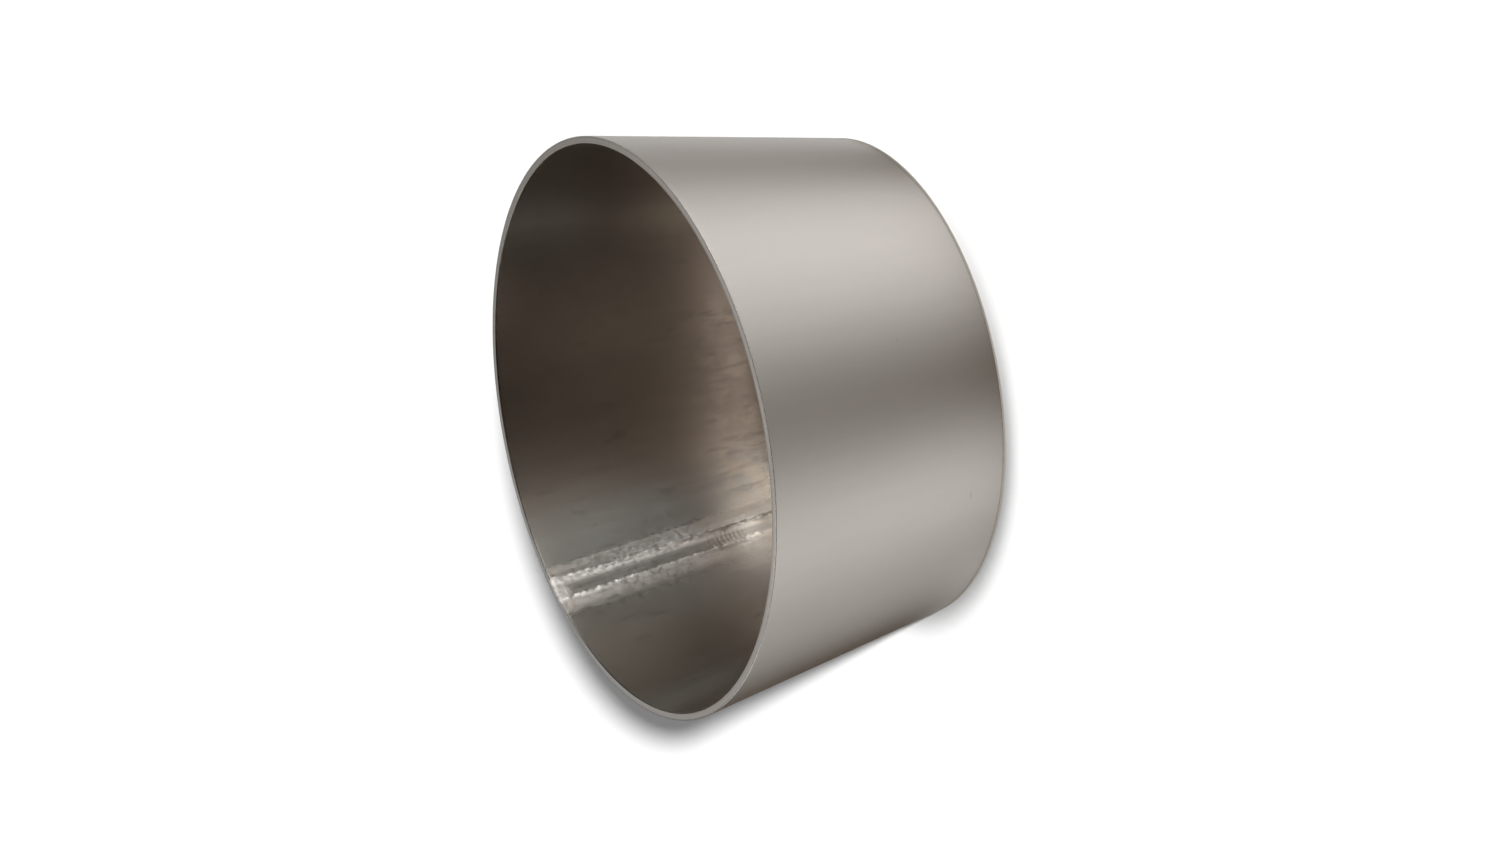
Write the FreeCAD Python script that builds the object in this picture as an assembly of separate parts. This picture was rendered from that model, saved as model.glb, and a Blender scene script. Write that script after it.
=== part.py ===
import FreeCAD, Part
import math
import os

# Conical tube reducer: a thin sheet rolled into a straight cone, closed by one weld along its side.
# Millimetres. The axis is Z. The small end stands on Z = 0 and the large end is on top.

# Driving dimensions
LARGE_END_DIAMETER = 76.2
SMALL_END_DIAMETER = 63.5
LENGTH = 37.2
WALL = 1.0

# The saw-cut ends are deburred, more on the outside than on the inside
OUTER_EDGE_BREAK = 0.25
INNER_EDGE_BREAK = 0.12

# The weld's root stands proud of the inner wall. The outside of the seam is ground flush.
BEAD_WIDTH = 3.4
BEAD_HEIGHT = 0.32
BEAD_AZIMUTH = 90.0
BEAD_END_SLOPE = 45.0

# Values that follow from them
large_radius = LARGE_END_DIAMETER / 2
small_radius = SMALL_END_DIAMETER / 2
half_angle = math.atan2(large_radius - small_radius, LENGTH)
wall_across = WALL / math.cos(half_angle)


def outer_radius(height):
    return small_radius + height * math.tan(half_angle)


def inner_radius(height):
    return outer_radius(height) - wall_across


def turned(points):
    """Solid turned about Z from a closed outline of (radius, height) points."""
    corners = [FreeCAD.Vector(radius, 0, height) for radius, height in points]
    outline = Part.makePolygon(corners + corners[:1])
    return Part.Face(outline).revolve(FreeCAD.Vector(), FreeCAD.Vector(0, 0, 1), 360)


def cone_wall():
    """The wall with a small bevel on each of its four circular edges."""
    outside = OUTER_EDGE_BREAK * math.cos(half_angle)
    inside = INNER_EDGE_BREAK * math.cos(half_angle)
    return turned([
        (inner_radius(0) + INNER_EDGE_BREAK, 0),
        (outer_radius(0) - OUTER_EDGE_BREAK, 0),
        (outer_radius(outside), outside),
        (outer_radius(LENGTH - outside), LENGTH - outside),
        (outer_radius(LENGTH) - OUTER_EDGE_BREAK, LENGTH),
        (inner_radius(LENGTH) + INNER_EDGE_BREAK, LENGTH),
        (inner_radius(LENGTH - inside), LENGTH - inside),
        (inner_radius(inside), inside),
    ])


def bead_reach():
    """The ring that the weld's root may fill: from mid-wall inwards, sloped down to the wall at both ends."""
    middle = wall_across / 2
    start = INNER_EDGE_BREAK * math.cos(half_angle)
    finish = LENGTH - start
    depth = 2 * BEAD_HEIGHT
    run = depth / math.tan(math.radians(BEAD_END_SLOPE))
    return turned([
        (inner_radius(start) + middle, start),
        (inner_radius(finish) + middle, finish),
        (inner_radius(finish), finish),
        (inner_radius(finish - run) - depth, finish - run),
        (inner_radius(start + run) - depth, start + run),
        (inner_radius(start), start),
    ])


def weld_root():
    """A round bar laid along the wall, of which only a low crown stands inside the cone."""
    half_width = BEAD_WIDTH / 2
    bar_radius = (half_width ** 2 + BEAD_HEIGHT ** 2) / (2 * BEAD_HEIGHT)
    along = FreeCAD.Vector(math.sin(half_angle), 0, math.cos(half_angle))
    outwards = FreeCAD.Vector(math.cos(half_angle), 0, -math.sin(half_angle))
    on_inner_wall = FreeCAD.Vector(inner_radius(0), 0, 0)
    overrun = BEAD_WIDTH
    base = on_inner_wall + outwards * (bar_radius - BEAD_HEIGHT) - along * overrun
    bar_length = LENGTH / math.cos(half_angle) + 2 * overrun
    bar = Part.makeCylinder(bar_radius, bar_length, base, along)
    root = bar.common(bead_reach())
    root.rotate(FreeCAD.Vector(), FreeCAD.Vector(0, 0, 1), BEAD_AZIMUTH)
    return root


def reducer_cone():
    return cone_wall().fuse(weld_root()).removeSplitter()


os.makedirs("parts", exist_ok=True)
shape = reducer_cone()
shape.exportStep("parts/reducer_cone.step")
print("solids", len(shape.Solids), "valid", shape.isValid(), "volume mm3", round(shape.Volume, 1))
print("half angle", round(math.degrees(half_angle), 2), "box", shape.BoundBox)
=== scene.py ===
import math

import bpy
import numpy as np
from mathutils import Matrix, Vector, noise


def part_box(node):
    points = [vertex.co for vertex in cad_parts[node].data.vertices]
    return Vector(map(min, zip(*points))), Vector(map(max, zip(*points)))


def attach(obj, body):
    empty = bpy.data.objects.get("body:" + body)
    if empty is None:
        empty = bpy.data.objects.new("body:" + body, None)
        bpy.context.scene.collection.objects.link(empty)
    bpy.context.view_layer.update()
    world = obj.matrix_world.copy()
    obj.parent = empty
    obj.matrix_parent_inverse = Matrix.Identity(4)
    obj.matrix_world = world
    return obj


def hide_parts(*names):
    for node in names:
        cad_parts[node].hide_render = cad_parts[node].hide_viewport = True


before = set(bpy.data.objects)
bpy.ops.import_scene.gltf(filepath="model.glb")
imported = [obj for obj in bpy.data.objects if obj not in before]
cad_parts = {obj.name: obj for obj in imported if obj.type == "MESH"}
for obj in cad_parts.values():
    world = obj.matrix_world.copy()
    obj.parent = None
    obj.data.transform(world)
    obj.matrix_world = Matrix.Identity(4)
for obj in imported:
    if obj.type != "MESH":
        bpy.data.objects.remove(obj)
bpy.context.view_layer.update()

# Lengths in this script are metres where no comment says millimetres, and angles are degrees.
MM = 0.001

# The cone, as in the solid
LARGE_RADIUS = 38.1 * MM
SMALL_RADIUS = 31.75 * MM
WALL = 1.0 * MM
OUTER_EDGE_BREAK = 0.25 * MM
INNER_EDGE_BREAK = 0.12 * MM
BEAD_WIDTH = 3.4 * MM
BEAD_HEIGHT = 0.32 * MM
SEAM_AZIMUTH = 90.0

low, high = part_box("reducer_cone")
LENGTH = high.z - low.z
HALF_ANGLE = math.atan2(LARGE_RADIUS - SMALL_RADIUS, LENGTH)
WALL_ACROSS = WALL / math.cos(HALF_ANGLE)

# The mesh: columns go round the axis, close together at the seam, and rows go round the wall's section
SEAM_ZONE = 7.0 * MM
SEAM_COLUMN_PITCH = 0.16 * MM
PLAIN_COLUMNS = 176
INNER_ROWS = 236
OUTER_ROWS = 56
FACE_ROWS = 4
EDGE_ROWS = 5

# The weld's root. Its crown falls off with this power of the distance from its middle, its ripples
# are bowed, its edges wander, and a shallow groove follows its toes. The groove's place and width are
# shares of the half width.
CROWN_POWER = 3
RIPPLE_PITCH = 0.62 * MM
RIPPLE_HEIGHT = 0.008 * MM
RIPPLE_BOW = 0.9
RIPPLE_WANDER = 0.4
RIPPLE_NOISE = (1.4 * MM, 6.2)
BEAD_WANDER = 0.10 * MM
TOE_GROOVE = 0.02 * MM
TOE_GROOVE_AT = 1.1
TOE_GROOVE_WIDTH = 0.16

# How its two edges wander: a coarse and a fine noise for each, as pitch and seed
LEFT_EDGE = ((1.9 * MM, 3.1), (0.6 * MM, 8.7))
RIGHT_EDGE = ((2.3 * MM, 5.9), (0.5 * MM, 1.3))
FINE_SHARE = 0.5

# A groove along the crest and a knotted ridge along one toe: the place across the seam, the width and
# the depth. The ridge follows its edge by a share.
CREST_GROOVE = (0.15 * MM, 0.42 * MM, 0.05 * MM)
TOE_RIDGE = (1.25 * MM, 0.22 * MM, 0.05 * MM)
TOE_RIDGE_KNOTS = 0.7
TOE_RIDGE_NOISE = (0.45 * MM, 2.7)
TOE_RIDGE_FOLLOWS = 0.5

# The root runs out at both ends. Below the first of these heights it is lower by this share, above
# the second not.
DRESSED_LENGTH = 1.4 * MM
LOWER_AT = (5.4 * MM, 10.2 * MM)
LOWER_BY = 0.5

# Noise is nothing where all its coordinates are whole numbers, so one of them never is
OFF_WHOLE = 0.37


def add_object(name, data):
    made = bpy.data.objects.new(name, data)
    bpy.context.scene.collection.objects.link(made)
    return made


def outer_radius(height):
    return SMALL_RADIUS + height * math.tan(HALF_ANGLE)


def inner_radius(height):
    return outer_radius(height) - WALL_ACROSS


def smooth(low_end, high_end, value):
    """Goes smoothly from 0 to 1 as the value passes from one end to the other."""
    t = np.clip((value - low_end) / (high_end - low_end), 0.0, 1.0)
    return t * t * (3 - 2 * t)


def wander(position, pitch, seed):
    """Smooth noise from -1 to 1 along a line."""
    return noise.noise(Vector((position / pitch, seed, OFF_WHOLE)))


def edge_curve(before, corner, after, steps):
    """Points of a small rounded edge, both ends included."""
    points = []
    for i in range(steps + 1):
        t = i / steps
        points.append([
            (1 - t) ** 2 * before[k] + 2 * t * (1 - t) * corner[k] + t * t * after[k]
            for k in range(2)
        ])
    return points


def straight(start, end, steps):
    """Points between two ends, with neither end included."""
    return [
        [start[k] + (end[k] - start[k]) * i / steps for k in range(2)]
        for i in range(1, steps)
    ]


def wall_section():
    """The wall's outline as (radius, height) points, and how many of the first are the inner wall."""
    inside = INNER_EDGE_BREAK * math.cos(HALF_ANGLE)
    outside = OUTER_EDGE_BREAK * math.cos(HALF_ANGLE)
    inner_foot = (inner_radius(inside), inside)
    inner_head = (inner_radius(LENGTH - inside), LENGTH - inside)
    face_head_in = (inner_radius(LENGTH) + INNER_EDGE_BREAK, LENGTH)
    face_head_out = (outer_radius(LENGTH) - OUTER_EDGE_BREAK, LENGTH)
    outer_head = (outer_radius(LENGTH - outside), LENGTH - outside)
    outer_foot = (outer_radius(outside), outside)
    face_foot_out = (outer_radius(0) - OUTER_EDGE_BREAK, 0)
    face_foot_in = (inner_radius(0) + INNER_EDGE_BREAK, 0)
    inner_wall = straight(inner_foot, inner_head, INNER_ROWS)
    section = list(inner_wall)
    section += edge_curve(inner_head, (inner_radius(LENGTH), LENGTH), face_head_in, EDGE_ROWS)
    section += straight(face_head_in, face_head_out, FACE_ROWS)
    section += edge_curve(face_head_out, (outer_radius(LENGTH), LENGTH), outer_head, EDGE_ROWS)
    section += straight(outer_head, outer_foot, OUTER_ROWS)
    section += edge_curve(outer_foot, (outer_radius(0), 0), face_foot_out, EDGE_ROWS)
    section += straight(face_foot_out, face_foot_in, FACE_ROWS)
    section += edge_curve(face_foot_in, (inner_radius(0), 0), inner_foot, EDGE_ROWS)
    return np.array(section), len(inner_wall)


def column_angles():
    """Angles from the seam, in radians, close together where the weld is."""
    zone = SEAM_ZONE / LARGE_RADIUS
    seam_columns = round(2 * SEAM_ZONE / SEAM_COLUMN_PITCH)
    near = np.linspace(-zone, zone, seam_columns)
    far = np.linspace(zone, 2 * math.pi - zone, PLAIN_COLUMNS + 1)[1:-1]
    return np.concatenate([near, far])


def edge_shift(height, coarse, fine):
    """How far an edge of the weld strays outwards at a height."""
    return BEAD_WANDER * (wander(height, *coarse) + FINE_SHARE * wander(height, *fine))


def bead_relief(across, height):
    """How far the weld stands in from the wall, at distances across the seam, for one row."""
    right_shift = edge_shift(height, *RIGHT_EDGE)
    left = BEAD_WIDTH / 2 + edge_shift(height, *LEFT_EDGE)
    right = BEAD_WIDTH / 2 + right_shift
    share = np.where(across < 0, -across / left, across / right)
    crown = np.clip(1 - np.abs(share) ** CROWN_POWER, 0, None)
    phase = height / RIPPLE_PITCH + RIPPLE_BOW * np.clip(share, 0, 1) ** 2
    phase = phase + RIPPLE_WANDER * wander(height, *RIPPLE_NOISE)
    ripple = RIPPLE_HEIGHT * (2 * np.abs(phase - np.floor(phase) - 0.5) - 0.5)
    toe = TOE_GROOVE * np.exp(-((share - TOE_GROOVE_AT) / TOE_GROOVE_WIDTH) ** 2)
    place, width, depth = CREST_GROOVE
    groove = depth * np.exp(-((across - place) / width) ** 2)
    place, width, rise = TOE_RIDGE
    knots = 1 + TOE_RIDGE_KNOTS * wander(height, *TOE_RIDGE_NOISE)
    place = place + TOE_RIDGE_FOLLOWS * right_shift
    ridge = rise * knots * np.exp(-((across - place) / width) ** 2)
    ends = smooth(0, DRESSED_LENGTH, height) * smooth(0, DRESSED_LENGTH, LENGTH - height)
    full = 1 - LOWER_BY * (1 - smooth(*LOWER_AT, height))
    return full * ends * (BEAD_HEIGHT * crown + ripple * np.sqrt(crown) - toe - groove + ridge * full)


def reducer_mesh():
    """The cone with its weld, as one closed mesh of rings."""
    section, inner_count = wall_section()
    angles = column_angles()
    seam = math.radians(SEAM_AZIMUTH)
    inwards = (-math.cos(HALF_ANGLE), math.sin(HALF_ANGLE))
    from_seam = (angles + math.pi) % (2 * math.pi) - math.pi
    points = np.zeros((len(section), len(angles), 3))
    for row, (radius, height) in enumerate(section):
        relief = np.zeros(len(angles))
        if row < inner_count:
            relief = bead_relief(from_seam * radius, height)
        reach = radius + relief * inwards[0]
        points[row, :, 0] = reach * np.cos(seam + angles)
        points[row, :, 1] = reach * np.sin(seam + angles)
        points[row, :, 2] = height + relief * inwards[1]
    rows, columns = points.shape[:2]
    index = np.arange(rows * columns).reshape(rows, columns)
    below = index
    above = np.roll(index, -1, axis=0)
    faces = np.stack([below, above, np.roll(above, -1, axis=1), np.roll(below, -1, axis=1)], axis=-1)
    mesh = bpy.data.meshes.new("reducer_cone_detailed")
    mesh.from_pydata(points.reshape(-1, 3).tolist(), [], faces.reshape(-1, 4).tolist())
    mesh.update()
    mesh.shade_smooth()
    return mesh


# Materials

class Nodes:
    """A short way to add nodes to a material and join them."""

    def __init__(self, tree):
        self.tree = tree
        tree.nodes.clear()

    def add(self, kind, values=None, **settings):
        node = self.tree.nodes.new(kind)
        for name, value in settings.items():
            setattr(node, name, value)
        for socket, value in (values or {}).items():
            if isinstance(value, bpy.types.NodeSocket):
                self.tree.links.new(value, node.inputs[socket])
            else:
                node.inputs[socket].default_value = value
        return node

    def math(self, operation, a, b=0.0, c=0.0):
        return self.add("ShaderNodeMath", {0: a, 1: b, 2: c}, operation=operation).outputs[0]

    def product(self, first, *more):
        for value in more:
            first = self.math("MULTIPLY", first, value)
        return first

    def ramp(self, value, start, end, low_value=0.0, high_value=1.0):
        """Goes smoothly from one value to another as the input passes from start to end."""
        values = {"Value": value, "From Min": start, "From Max": end}
        values.update({"To Min": low_value, "To Max": high_value})
        return self.add("ShaderNodeMapRange", values, interpolation_type="SMOOTHSTEP").outputs["Result"]

    def mix_colour(self, share, a, b):
        node = self.add("ShaderNodeMix", {"Factor": share, 6: a, 7: b}, data_type="RGBA")
        return node.outputs[2]

    def curve(self, value, places, amounts):
        """Goes smoothly through amounts at places from 0 to 1."""
        node = self.add("ShaderNodeValToRGB", {"Fac": value})
        node.color_ramp.interpolation = "EASE"
        stops = node.color_ramp.elements
        while len(stops) < len(places):
            stops.new(1.0)
        for stop, where, amount in zip(stops, places, amounts):
            stop.position = where
            stop.color = (amount, amount, amount, 1.0)
        return node.outputs["Color"]

    def noise(self, place, scale, detail, roughness):
        values = {"Vector": place, "Scale": scale, "Detail": detail, "Roughness": roughness}
        return self.add("ShaderNodeTexNoise", values).outputs["Fac"]


def new_material(name):
    """A material, and its nodes to be filled."""
    material = bpy.data.materials.new(name)
    material.use_nodes = True
    return material, Nodes(material.node_tree)


def colour(red, green, blue):
    return (red, green, blue, 1.0)


WHITE = colour(1, 1, 1)
BLACK = colour(0, 0, 0)
TITANIUM = colour(0.64, 0.604, 0.565)
TITANIUM_INSIDE = colour(0.645, 0.582, 0.525)
TITANIUM_CLEANED = colour(0.66, 0.675, 0.665)
TITANIUM_BRUSHED = colour(0.72, 0.695, 0.66)
TITANIUM_STAINED = colour(0.79, 0.725, 0.63)
TITANIUM_SPECKS = colour(0.36, 0.33, 0.31)
ROUGHNESS = 0.27
WORKED_ROUGHNESS = 0.3
BRUSHING = 0.6
CUT_FACE_MATTE = 0.12
BEVEL_MATTE = 0.14

# How deep the grain is in the plain metal, and how much deeper in worked metal
GRAIN_DEPTH = 0.0004 * MM
WORKED_DEPTH = 0.015 * MM

# Noises that are the same in all directions: scale, detail and roughness
GRAIN = (3000.0, 3.0, 0.65)
CLOTS = (1500.0, 4.0, 0.75)
PATCHES = (260.0, 5.0, 0.65)
CRINKLES = (1500.0, 3.0, 0.7)
STEPS = (430.0, 1.0, 0.55)
KNOTS = (800.0, 1.0, 0.55)

# The values of such a noise between which it comes up or, for the clots' dirt, goes. The speckle has
# its strength at both too.
SPECKLE = (0.36, 0.64, 0.45, 1.55)
CLOTS_SHOW = (0.30, 0.46)
PATCHES_SHOW = (0.47, 0.55)
KNOTS_SHOW = (0.55, 0.68)

# Textures that are drawn out along the wall. Each has its scale round the wall and along it, a
# millimetre, its detail and roughness, and the two values of the noise between which it comes up.
STREAKS = (0.7, 0.07, 4.0, 0.65, 0.34, 0.66)
MARKS = (0.8, 0.25, 2.0, 0.55, 0.64, 0.70)
SMUDGES = (0.75, 0.22, 4.0, 0.65, 0.54, 0.66)
SPOTS = (1.5, 0.75, 2.0, 0.55, 0.59, 0.65)

# How strongly each of them darkens the metal. The streaks are weak outside and stronger inside.
STREAKS_OUTSIDE = 0.04
STREAKS_INSIDE = 0.15
MARKS_SHARE = 0.3
SMUDGES_SHARE = 0.36
CLOTS_SHARE = 0.2
OUTER_MARKS_SHARE = 0.55

# What fades from the lip to the other end: from and to these shares of the way, and its strength
# before and after
SPOTS_FADE = (0.5, 0.7, 0.55, 0.1)
WORKED_FADE = (0.25, 0.5, 1.0, 0.3)

# The wall on the left of the weld is stained towards the small end, from and to these shares of the
# way there. Distances across the seam are in millimetres here and below.
STAINED = (-34.0, -1.0)
STAINED_EDGE = 4.0
STAINED_FROM = (0.62, 0.86)
STAINED_SHARE = 0.55

# The wall is cleaned on both sides of the weld, further on the right than on the left, and slightly
# dulled by it
CLEANED = (-10.0, 32.0)
CLEANED_EDGE = 6.0
DULLED = (-10.0, 8.0)
DULLED_PLACES = (0.06, 0.25, 0.45, 0.68, 0.80, 0.91)
DULLED_MATTE = (0.01, 0.028, 0.033, 0.0, 0.0, 0.20)

# Bands beside and on the weld. Each has its start, its end, how soft these are, how much it is
# worked, and how matte it is at five places from the lip to the other end. They are a narrow brushed
# strip, a dip, the weld's left flank, its crest, its right toe and a wide brushed strip that fades
# out.
SEAM_PLACES = (0.06, 0.25, 0.45, 0.68, 0.79)
SEAM_BANDS = [
    (-3.6, -2.6, 0.25, 0.2, 0.6, (0.11, 0.10, 0.08, 0.0, 0.0)),
    (-2.6, -1.95, 0.2, 0.2, 0.3, (0.05, 0.09, 0.11, 0.03, 0.05)),
    (-1.9, -0.65, 0.2, 0.55, 1.0, (0.41, 0.31, 0.22, 0.05, 0.30)),
    (-0.6, 1.2, 0.3, 0.2, 0.2, (0.02, 0.06, 0.04, 0.0, 0.03)),
    (1.35, 1.8, 0.15, 0.3, 1.0, (0.36, 0.18, 0.13, 0.06, 0.44)),
    (1.8, 3.0, 0.3, 0.5, 0.8, (0.16, 0.13, 0.08, 0.03, 0.18)),
    (3.0, 3.9, 0.4, 0.35, 0.4, (0.07, 0.065, 0.045, 0.0, 0.08)),
]

# Bright knots on the right toe: start, end and how soft these are, and how they fade
KNOTTED = (1.4, 1.7, 0.15)
KNOTS_FADE = (0.0, 0.6, 0.3, 0.0)

# All edges are finely crinkled. The wide strip, which ends beyond this distance, has an edge that
# comes and goes.
CRINKLE_WIDTH = 0.8 * MM
STEPPED_FROM = 3.5
STEP_WIDTH = 1.8 * MM

# The weld's own bands, up to about this width, lie closer together away from the lip, by these shares
# at the five places
NARROWER = (0.0, 0.40, 0.45, 0.60, 1.0)
NARROWER_WIDTH = 1.3 * MM

# At the lip, the weld is dressed down: where this ends and how unevenly, where it is across the seam,
# and how matte it is there
DRESSED_END = (0.01, 0.06)
DRESSED_UNEVEN = 0.12
DRESSED_ACROSS = (-2.3, 2.0, 0.25)
DRESSED_MATTE = 0.34

# A dirty line left of the weld: start, end and how soft these are
DIRTY_LINE = (-2.6, -1.8, 0.25)

# Small dark marks on the outer wall: azimuth, height, half width round the wall and half width along it
OUTER_MARKS = [
    (207.4, 5.6 * MM, 0.75 * MM, 0.13 * MM),
    (245.5, 14.9 * MM, 0.22 * MM, 0.22 * MM),
]

# How they fade from their middle, in half widths
OUTER_MARKS_FADE = (0.3, 1.0, 1.0, 0.0)

# Depths below the outer wall at which it ends, at which its bevel and the end face end, and the
# inside starts
OUTER_ENDS = (0.03 * MM, 0.09 * MM)
BEVEL_ENDS = (0.20 * MM, 0.30 * MM)
FACE_ENDS = (0.85 * MM, 0.97 * MM)
INSIDE_STARTS = (0.5 * WALL_ACROSS, 0.8 * WALL_ACROSS)


class Place:
    """Where a point of the cone's surface is, as node sockets."""

    def __init__(self, n):
        self.point = n.add("ShaderNodeTexCoord").outputs["Object"]
        self.x, self.y, self.height = n.add("ShaderNodeSeparateXYZ", {0: self.point}).outputs
        squares = n.math("ADD", n.product(self.x, self.x), n.product(self.y, self.y))
        self.radius = n.math("SQRT", squares)
        outside = n.math("MULTIPLY_ADD", self.height, math.tan(HALF_ANGLE), SMALL_RADIUS)
        self.depth = n.math("SUBTRACT", outside, self.radius)
        self.inside = n.ramp(self.depth, *INSIDE_STARTS)
        off_outer = n.ramp(self.depth, *OUTER_ENDS)
        self.end_face = n.product(off_outer, n.ramp(self.depth, *FACE_ENDS, 1.0, 0.0))
        self.bevel = n.product(off_outer, n.ramp(self.depth, *BEVEL_ENDS, 1.0, 0.0))
        turn = n.math("SUBTRACT", n.math("ARCTAN2", self.y, self.x), math.radians(SEAM_AZIMUTH))
        self.across = n.product(turn, self.radius)

    def stretched(self, n, round_scale, along_scale):
        """The surface point in millimetres, with its two directions scaled for a stretched texture."""
        ring = n.math("DIVIDE", LARGE_RADIUS / MM * round_scale, self.radius)
        x = n.product(self.x, ring)
        y = n.product(self.y, ring)
        z = n.product(self.height, along_scale / MM)
        return n.add("ShaderNodeCombineXYZ", {0: x, 1: y, 2: z}).outputs[0]


def band(n, across, start, end, soft, end_soft=None, end_across=None):
    """1 between two distances across the seam, and 0 outside them."""
    end_soft = end_soft or soft
    rising = n.ramp(across, (start - soft) * MM, (start + soft) * MM)
    falling = n.ramp(end_across or across, (end - end_soft) * MM, (end + end_soft) * MM, 1.0, 0.0)
    return n.product(rising, falling)


def outer_marks(n, place):
    """1 on the small marks of the outer wall, and 0 away from them."""
    marks = 0.0
    for azimuth, height, half_round, half_along in OUTER_MARKS:
        radius = outer_radius(height)
        a = math.radians(azimuth)
        x = n.math("DIVIDE", n.math("SUBTRACT", place.x, radius * math.cos(a)), half_round)
        y = n.math("DIVIDE", n.math("SUBTRACT", place.y, radius * math.sin(a)), half_round)
        z = n.math("DIVIDE", n.math("SUBTRACT", place.height, height), half_along)
        offset = n.add("ShaderNodeCombineXYZ", {0: x, 1: y, 2: z}).outputs[0]
        distance = n.add("ShaderNodeVectorMath", {0: offset}, operation="LENGTH").outputs["Value"]
        marks = n.math("MAXIMUM", marks, n.ramp(distance, *OUTER_MARKS_FADE))
    return marks


def seam_finish(n, place, share):
    """How much the metal on and by the weld is worked, and how matte it is."""
    squared = n.math("POWER", n.math("DIVIDE", place.across, NARROWER_WIDTH), 2.0)
    near_crest = n.math("EXPONENT", n.product(squared, -1.0))
    narrower = n.product(near_crest, n.curve(share, SEAM_PLACES, NARROWER))
    across = n.math("MULTIPLY_ADD", place.across, narrower, place.across)
    crinkle = n.math("SUBTRACT", n.noise(place.point, *CRINKLES), 0.5)
    across = n.math("MULTIPLY_ADD", crinkle, CRINKLE_WIDTH, across)
    steps = n.math("SUBTRACT", n.noise(place.point, *STEPS), 0.5)
    stepped = n.math("MULTIPLY_ADD", steps, STEP_WIDTH, across)
    worked = 0.0
    matte = 0.0
    for start, end, start_soft, end_soft, work, amounts in SEAM_BANDS:
        end_across = stepped if end > STEPPED_FROM else across
        where = band(n, across, start, end, start_soft, end_soft, end_across)
        worked = n.math("MULTIPLY_ADD", where, work, worked)
        matte = n.math("MULTIPLY_ADD", where, n.curve(share, SEAM_PLACES, amounts), matte)
    knots = n.product(band(n, across, *KNOTTED), n.ramp(n.noise(place.point, *KNOTS), *KNOTS_SHOW))
    matte = n.math("MULTIPLY_ADD", knots, n.ramp(share, *KNOTS_FADE), matte)
    uneven = n.math("MULTIPLY_ADD", crinkle, DRESSED_UNEVEN, share)
    at_lip = n.ramp(uneven, *DRESSED_END, 1.0, 0.0)
    dressed = n.product(at_lip, place.inside, band(n, across, *DRESSED_ACROSS))
    worked = n.math("MAXIMUM", n.product(worked, place.inside), dressed)
    matte = n.math("MAXIMUM", n.product(matte, place.inside), n.product(dressed, DRESSED_MATTE))
    return worked, matte


def drawn_out(n, place, round_scale, along_scale, detail, roughness, start, end):
    """A noise that is drawn out along the wall, from 0 to 1."""
    values = n.noise(place.stretched(n, round_scale, along_scale), 1.0, detail, roughness)
    return n.ramp(values, start, end)


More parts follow.
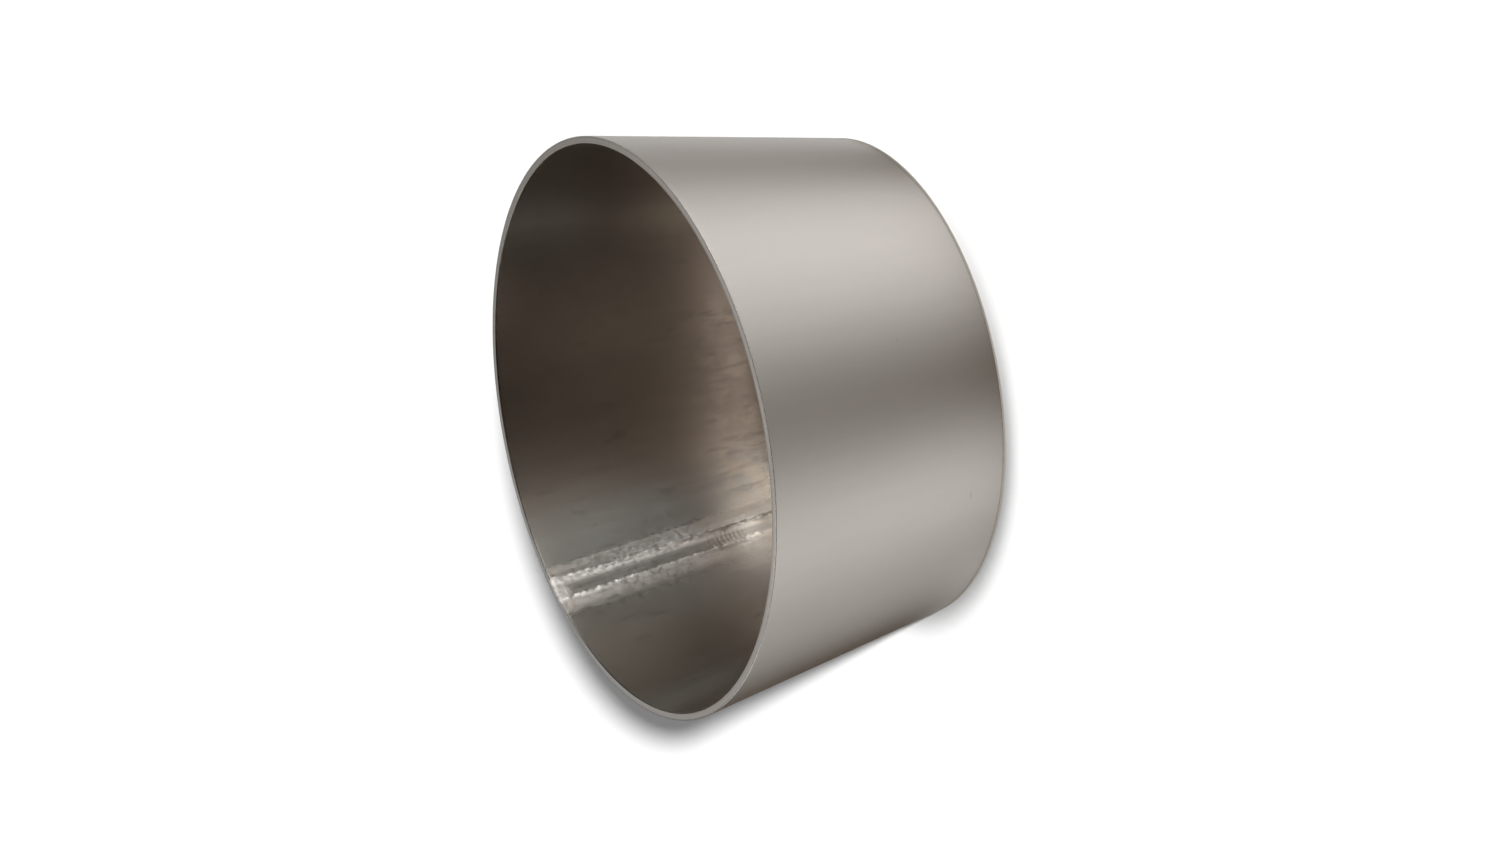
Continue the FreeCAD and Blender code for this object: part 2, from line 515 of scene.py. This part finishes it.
def titanium_material():
    material, n = new_material("satin_titanium")
    place = Place(n)
    from_lip = n.math("SUBTRACT", LENGTH, place.height)
    share = n.math("DIVIDE", from_lip, LENGTH)
    worked, matte = seam_finish(n, place, share)

    grain = n.noise(place.point, *GRAIN)
    clots = n.noise(place.point, *CLOTS)
    speckle = n.ramp(clots, *SPECKLE)
    cleaned = n.product(band(n, place.across, *CLEANED, CLEANED_EDGE), place.inside)
    haze = n.product(band(n, place.across, *DULLED, CLEANED_EDGE), place.inside)
    haze = n.product(haze, n.curve(share, DULLED_PLACES, DULLED_MATTE))
    in_stained = n.product(band(n, place.across, *STAINED, STAINED_EDGE), n.ramp(share, *STAINED_FROM))
    patches = n.ramp(n.noise(place.point, *PATCHES), *PATCHES_SHOW)
    stains = n.product(in_stained, patches, STAINED_SHARE)

    more_inside = STREAKS_INSIDE - STREAKS_OUTSIDE
    streaks_share = n.math("MULTIPLY_ADD", place.inside, more_inside, STREAKS_OUTSIDE)
    streaks = n.product(drawn_out(n, place, *STREAKS), streaks_share)
    marks = n.product(drawn_out(n, place, *MARKS), place.inside, MARKS_SHARE)
    smudges = n.product(in_stained, place.inside, drawn_out(n, place, *SMUDGES), SMUDGES_SHARE)
    spots = n.product(drawn_out(n, place, *SPOTS), n.ramp(share, *SPOTS_FADE), place.inside)
    spots = n.product(spots, band(n, place.across, *DIRTY_LINE))

    tone = n.mix_colour(cleaned, TITANIUM_INSIDE, TITANIUM_CLEANED)
    tone = n.mix_colour(stains, tone, TITANIUM_STAINED)
    tone = n.mix_colour(n.math("MINIMUM", worked, 1.0), tone, TITANIUM_BRUSHED)
    tone = n.mix_colour(place.inside, TITANIUM, tone)
    tone = n.mix_colour(streaks, tone, TITANIUM_SPECKS)
    dirt = n.product(worked, n.ramp(clots, *CLOTS_SHOW, CLOTS_SHARE, 0.0))
    for more in (marks, smudges, spots, n.product(outer_marks(n, place), OUTER_MARKS_SHARE)):
        dirt = n.math("MAXIMUM", dirt, more)
    tone = n.mix_colour(dirt, tone, TITANIUM_SPECKS)
    rough = n.product(worked, n.ramp(share, *WORKED_FADE))
    rough = n.math("MULTIPLY_ADD", rough, WORKED_ROUGHNESS, ROUGHNESS)
    metal = n.math("SUBTRACT", 1.0, n.product(n.math("MAXIMUM", matte, haze), speckle))
    metal = n.math("MULTIPLY_ADD", place.end_face, -CUT_FACE_MATTE, metal)
    metal = n.math("MULTIPLY_ADD", place.bevel, -BEVEL_MATTE, metal)
    bump = n.add("ShaderNodeBump", {
        "Strength": 1.0,
        "Distance": n.math("MULTIPLY_ADD", worked, WORKED_DEPTH, GRAIN_DEPTH),
        "Height": n.math("SUBTRACT", grain, 0.5),
    })
    tangent = n.add("ShaderNodeTangent", direction_type="RADIAL", axis="Z").outputs[0]
    shader = n.add("ShaderNodeBsdfPrincipled", {
        "Base Color": tone,
        "Roughness": rough,
        "Metallic": metal,
        "Anisotropic": BRUSHING,
        "Tangent": tangent,
        "Normal": bump.outputs[0],
    })
    n.add("ShaderNodeOutputMaterial", {"Surface": shader.outputs["BSDF"]})
    return material


cone = add_object("reducer_cone_shown", reducer_mesh())
cone.data.materials.append(titanium_material())
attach(cone, "root")
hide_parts("reducer_cone")


# Camera: where it stands, seen from the part, and how far it is turned about its own line of sight.
# Its lens and its sensor are in millimetres.
CAMERA_AZIMUTH = -120.856
CAMERA_ELEVATION = 27.309
CAMERA_ROLL = 102.157
CAMERA_DISTANCE = 0.66435
CAMERA_LENS = 122.95
CAMERA_SENSOR = 36.0
CAMERA_AIM = Vector((-2.485, 2.056, 19.658)) * MM


def towards(azimuth, elevation):
    a = math.radians(azimuth)
    e = math.radians(elevation)
    return Vector((math.cos(a) * math.cos(e), math.sin(a) * math.cos(e), math.sin(e)))


def add_camera():
    data = bpy.data.cameras.new("camera")
    data.lens = CAMERA_LENS
    data.sensor_width = CAMERA_SENSOR
    camera = add_object("camera", data)
    back = towards(CAMERA_AZIMUTH, CAMERA_ELEVATION)
    camera.location = CAMERA_AIM + back * CAMERA_DISTANCE
    upright = back.to_track_quat("Z", "Y")
    turn = Matrix.Rotation(math.radians(-CAMERA_ROLL), 4, back)
    camera.matrix_world = Matrix.Translation(camera.location) @ turn @ upright.to_matrix().to_4x4()
    bpy.context.scene.camera = camera


add_camera()


# The studio: a white floor under a white sky. Dark cards and soft panels stand round the part and
# show in the metal only.

# One lamp gives the shadow. A small spot shines through the mouth on the far end of the weld. Both
# stand by the camera, turned aside and raised from it by these angles.
SUN_STRENGTH = 6.9
SUN_TURN = 5.2
SUN_RISE = -2.9
SUN_ANGLE = 2.8
SPOT_STRENGTH = 26.0
SPOT_TURN = -2.0
SPOT_RISE = 7.0
SPOT_DISTANCE = 0.6
SPOT_RADIUS = 13 * MM
SPOT_SOFTNESS = 4 * MM
SPOT_AIM = Vector((1.0, 31.0, 5.0)) * MM
SPOT_TINT = (1.0, 0.92, 0.80)

# The floor, and the shade on it close to the part: how far that reaches, the openness between which
# it comes up, its depth, and from where to where across the floor
FLOOR_SIZE = 6.0
FLOOR_WHITE = colour(0.9, 0.9, 0.9)
FLOOR_GLOW = 0.17
SKY_ON_FLOOR = 0.05
CONTACT_REACH = 5 * MM
CONTACT_SAMPLES = 6
CONTACT_OPENNESS = (0.3, 0.9)
CONTACT_SHADE = 0.87
CONTACT_SIDE = (20 * MM, -45 * MM)

# A narrow grey ring lies right under the lower end's bevel. Its two radii are in millimetres.
FOOT_RING = (31.0, 32.2)
FOOT_RING_HEIGHT = 0.02 * MM
FOOT_RING_TONE = colour(0.56, 0.54, 0.51)

# How high the cards lie above the floor, and the colour of the gauze among them
CARD_HEIGHT = 0.3 * MM
GAUZE_TINT = colour(0.05, 0.03, 0.01)

# The gauze that lies on the floor round the part is clear, apart from dark stretches. Each has the
# angle of its middle from the camera's side of the part, its half width, how much of the white floor
# it hides, and how much of that is missing at the part's foot. The shade at the foot has a middle, a
# half width, a depth and a reach, which is in millimetres as the foot's own is.
DARK_STRETCHES = [
    (-77, 19, 1.0, 0.3),
    (-45, 10, 0.32, 0),
    (-4, 14, 0.76, 0),
    (56, 10, 0.63, 0),
    (95, 18, 0.68, 0),
    (150, 12, 0.7, 0),
    (-165, 12, 0.6, 0),
    (-125, 8, 0.5, 0),
]
FOOT_SHADE = (0, 45, 0.33, 6)
GAUZE_FOOT = 6.0

# The gauze starts this far from the wall. Its rows lie where a wall that went on upwards would mirror
# them at these heights, in millimetres. Past the widest angle it would turn away from the camera.
GAUZE_CLEARANCE = 0.15 * MM
GAUZE_STEP = 3
GAUZE_WIDEST = 84
GAUZE_ROWS = [0, 1, 2, 4, 7, 11, 20, 40, 80, 160, 400, 1200, 4000]

# The tent over the part: soft panels in a dark room, each with the azimuth and elevation of its
# middle, its two half widths in degrees, its brightness and its tint.
COOL = (0.93, 1.0, 1.03)
NEUTRAL = (1.0, 1.0, 1.0)
WARM = (1.12, 1.0, 0.88)
PANELS = [
    (127, 21, 14, 4, 3.6, COOL),
    (297, 3, 11, 4, 5.2, WARM),
    (63, 35, 11, 9, 0.62, NEUTRAL),
    (236, 37, 12, 5, 0.63, WARM),
    (326, 38, 16, 4, 0.28, WARM),
    (46, 6, 11, 4, 0.36, WARM),
    (60, 20, 35, 8, 0.045, WARM),
]
TENT_RADIUS = 1.5
TENT_ELEVATIONS = list(range(0, 90, 2)) + [89.9]
TENT_STEP = 3

# What shows through the small end: the floor in there is covered by a card that glows dimly, with a few
# painted pools of light that glow brighter. Each has its x and y, its half width and its brightness. All
# of these and the cover's radii are in millimetres.
COVER_RADII = [0.01] + list(range(2, 32, 2)) + [31.2]
COVER_STEP = 4
COVER_LIGHT = 0.1
COVER_TINT = (1.25, 1.0, 0.88)
PAINTED_LIGHT_POOLS = [
    (21, -10.5, 5.5, 2.9),
    (1, -20, 6, 1.05),
    (-4, 8, 9, 0.30),
    (12.5, 6.0, 3.4, 1.25),
]
PAINTED_LIGHT_TINT = (1.12, 1.0, 0.88)


def toned_piece(name, points, faces, tones, material):
    """A piece of the studio with a colour at each point, which neither the camera nor a shadow shows."""
    mesh = bpy.data.meshes.new(name)
    mesh.from_pydata(points, [], faces)
    mesh.attributes.new("tone", "FLOAT_COLOR", "POINT").data.foreach_set("color", np.ravel(tones))
    mesh.materials.append(material)
    piece = add_object(name, mesh)
    piece.visible_camera = False
    piece.visible_diffuse = False
    piece.visible_shadow = False


def bell(distance):
    """1 at the middle of a soft spot, falling off to 0. The distance is in half widths."""
    return math.exp(-0.5 * distance ** 2)


def aside_from(middle, azimuth):
    """How far an azimuth lies from another, between -180 and 180 degrees."""
    return (azimuth - middle + 180) % 360 - 180


def grid_faces(rows, columns):
    """Faces between rows of points that close round, given row by row."""
    faces = []
    for row in range(rows - 1):
        for column in range(columns):
            here = row * columns + column
            beside = row * columns + (column + 1) % columns
            faces.append((here, beside, beside + columns, here + columns))
    return faces


def glowing_paint(n, share, tone):
    """The floor's paint, with a share of its glow."""
    glow = n.add("ShaderNodeEmission", {"Color": WHITE, "Strength": n.product(share, FLOOR_GLOW)})
    paint = n.add("ShaderNodeBsdfDiffuse", {"Color": tone})
    return n.add("ShaderNodeAddShader", {0: glow.outputs[0], 1: paint.outputs[0]}).outputs[0]


def floor_material():
    """White, and to the camera darker close to the part, on the side of negative x."""
    material, n = new_material("white_floor")
    path = n.add("ShaderNodeLightPath")
    mirrored = n.math("MAXIMUM", path.outputs["Is Glossy Ray"], path.outputs["Is Transmission Ray"])
    plain = glowing_paint(n, mirrored, FLOOR_WHITE)

    x = n.add("ShaderNodeSeparateXYZ", {0: n.add("ShaderNodeTexCoord").outputs["Object"]}).outputs[0]
    side = n.ramp(x, *CONTACT_SIDE)
    reach = {"Distance": CONTACT_REACH}
    openness = n.add("ShaderNodeAmbientOcclusion", reach, samples=CONTACT_SAMPLES).outputs["AO"]
    closed = n.ramp(openness, *CONTACT_OPENNESS, CONTACT_SHADE, 0.0)
    open_sky = n.math("SUBTRACT", 1.0, n.product(closed, side))
    shaded = glowing_paint(n, open_sky, n.mix_colour(open_sky, BLACK, FLOOR_WHITE))
    both = n.add("ShaderNodeMixShader", {0: path.outputs["Is Camera Ray"], 1: plain, 2: shaded})
    n.add("ShaderNodeOutputMaterial", {"Surface": both.outputs[0]})
    return material


def gauze_material():
    material, n = new_material("dark_gauze")
    tone = n.add("ShaderNodeAttribute", attribute_name="tone").outputs["Fac"]
    cloth = n.add("ShaderNodeEmission", {"Color": GAUZE_TINT, "Strength": 1.0})
    clear = n.add("ShaderNodeBsdfTransparent")
    both = n.add("ShaderNodeMixShader", {0: tone, 1: cloth.outputs[0], 2: clear.outputs[0]})
    n.add("ShaderNodeOutputMaterial", {"Surface": both.outputs[0]})
    return material


def panel_material(name):
    material, n = new_material(name)
    tone = n.add("ShaderNodeAttribute", attribute_name="tone").outputs["Color"]
    glow = n.add("ShaderNodeEmission", {"Color": tone, "Strength": 1.0})
    n.add("ShaderNodeOutputMaterial", {"Surface": glow.outputs[0]})
    return material


def add_floor():
    half = FLOOR_SIZE / 2
    mesh = bpy.data.meshes.new("floor")
    corners = [(-half, -half, low.z), (half, -half, low.z), (half, half, low.z), (-half, half, low.z)]
    mesh.from_pydata(corners, [], [(0, 1, 2, 3)])
    mesh.materials.append(floor_material())
    floor = add_object("floor", mesh)


def mirrored_by_wall(angle):
    """Where the outer wall throws the line of sight, as a step on the floor for each unit of fall."""
    azimuth = CAMERA_AZIMUTH + angle
    outwards = towards(azimuth, 0)
    normal = outwards * math.cos(HALF_ANGLE) - Vector((0, 0, math.sin(HALF_ANGLE)))
    sight = -towards(CAMERA_AZIMUTH, CAMERA_ELEVATION)
    thrown = sight - 2 * sight.dot(normal) * normal
    return Vector((thrown.x, thrown.y, 0)) / -thrown.z + outwards * math.tan(HALF_ANGLE)


def add_gauze():
    angles = range(-180, 180, GAUZE_STEP)
    foot = SMALL_RADIUS + GAUZE_CLEARANCE
    shade_middle, shade_width, depth, reach = FOOT_SHADE
    points = []
    tones = []
    for fall in GAUZE_ROWS:
        at_foot = math.exp(-(fall / GAUZE_FOOT) ** 2)
        for angle in angles:
            start = towards(CAMERA_AZIMUTH + angle, 0) * foot
            place = start + mirrored_by_wall(max(-GAUZE_WIDEST, min(GAUZE_WIDEST, angle))) * fall * MM
            points.append((place.x, place.y, CARD_HEIGHT))
            clear = 1 - depth * bell((angle - shade_middle) / shade_width) * math.exp(-fall / reach)
            for middle, width, hidden, missing in DARK_STRETCHES:
                dark = bell(aside_from(middle, angle) / width)
                clear *= 1 - hidden * dark * (1 - missing * at_foot)
            tones.append((clear, clear, clear, 1.0))
    toned_piece("floor_gauze", points, grid_faces(len(GAUZE_ROWS), len(angles)), tones, gauze_material())


def add_foot_ring():
    """What the bevel of the lower end mirrors: the floor right under it, which little light reaches."""
    azimuths = range(0, 360, GAUZE_STEP)
    points = []
    for radius in FOOT_RING:
        for azimuth in azimuths:
            place = towards(azimuth, 0) * radius * MM
            points.append((place.x, place.y, FOOT_RING_HEIGHT))
    faces = grid_faces(len(FOOT_RING), len(azimuths))
    toned_piece("foot_ring", points, faces, [FOOT_RING_TONE] * len(points), panel_material("foot_ring"))


def add_tent():
    azimuths = range(0, 360, TENT_STEP)
    points = []
    tones = []
    for elevation in TENT_ELEVATIONS:
        for azimuth in azimuths:
            points.append(tuple(towards(azimuth, elevation) * TENT_RADIUS))
            tone = Vector((0, 0, 0))
            for middle, rise, width, height, brightness, tint in PANELS:
                aside = aside_from(middle, azimuth)
                distance = math.hypot(aside / width, (elevation - rise) / height)
                tone += brightness * bell(distance) * Vector(tint)
            tones.append((*tone, 1.0))
    faces = grid_faces(len(TENT_ELEVATIONS), len(azimuths))
    toned_piece("tent", points, faces, tones, panel_material("tent_panels"))


def add_inner_cover():
    azimuths = range(0, 360, COVER_STEP)
    points = []
    tones = []
    for radius in COVER_RADII:
        for azimuth in azimuths:
            place = towards(azimuth, 0) * radius
            points.append((place.x * MM, place.y * MM, CARD_HEIGHT))
            tone = COVER_LIGHT * Vector(COVER_TINT)
            # Painted pools of light, which glow on the cover
            for x, y, width, brightness in PAINTED_LIGHT_POOLS:
                distance = math.hypot(place.x - x, place.y - y) / width
                tone += brightness * bell(distance) * Vector(PAINTED_LIGHT_TINT)
            tones.append((*tone, 1.0))
    faces = grid_faces(len(COVER_RADII), len(azimuths))
    toned_piece("inner_cover", points, faces, tones, panel_material("inner_cover"))


def add_sky():
    made = bpy.data.worlds.new("studio")
    bpy.context.scene.world = made
    made.use_nodes = True
    n = Nodes(made.node_tree)
    path = n.add("ShaderNodeLightPath")
    seen = n.math("MAXIMUM", path.outputs["Is Camera Ray"], path.outputs["Is Glossy Ray"])
    seen = n.math("MAXIMUM", seen, path.outputs["Is Transmission Ray"])
    strength = n.ramp(seen, 0, 1, SKY_ON_FLOOR, 1.0)
    sky = n.add("ShaderNodeBackground", {"Color": WHITE, "Strength": strength})
    n.add("ShaderNodeOutputWorld", {"Surface": sky.outputs[0]})


def add_lamp(name, kind, strength, azimuth, elevation, place=(0, 0, 0)):
    """A lamp that shines from an azimuth and elevation and that no metal mirrors."""
    data = bpy.data.lights.new(name, kind)
    data.energy = strength
    lamp = add_object(name, data)
    lamp.location = place
    lamp.rotation_mode = "QUATERNION"
    lamp.rotation_quaternion = towards(azimuth, elevation).to_track_quat("Z", "Y")
    lamp.visible_glossy = False
    return data


def add_lamps():
    azimuth = CAMERA_AZIMUTH + SUN_TURN
    elevation = CAMERA_ELEVATION + SUN_RISE
    sun = add_lamp("shadow_lamp", "SUN", SUN_STRENGTH, azimuth, elevation)
    sun.angle = math.radians(SUN_ANGLE)
    azimuth = CAMERA_AZIMUTH + SPOT_TURN
    elevation = CAMERA_ELEVATION + SPOT_RISE
    place = SPOT_AIM + towards(azimuth, elevation) * SPOT_DISTANCE
    spot = add_lamp("seam_spot", "SPOT", SPOT_STRENGTH, azimuth, elevation, place)
    spot.spot_size = 2 * math.atan(SPOT_RADIUS / SPOT_DISTANCE)
    spot.spot_blend = 1.0
    spot.shadow_soft_size = SPOT_SOFTNESS
    spot.color = SPOT_TINT


add_floor()
add_gauze()
add_foot_ring()
add_tent()
add_inner_cover()
add_sky()
add_lamps()

bpy.context.scene.view_settings.view_transform = "Standard"
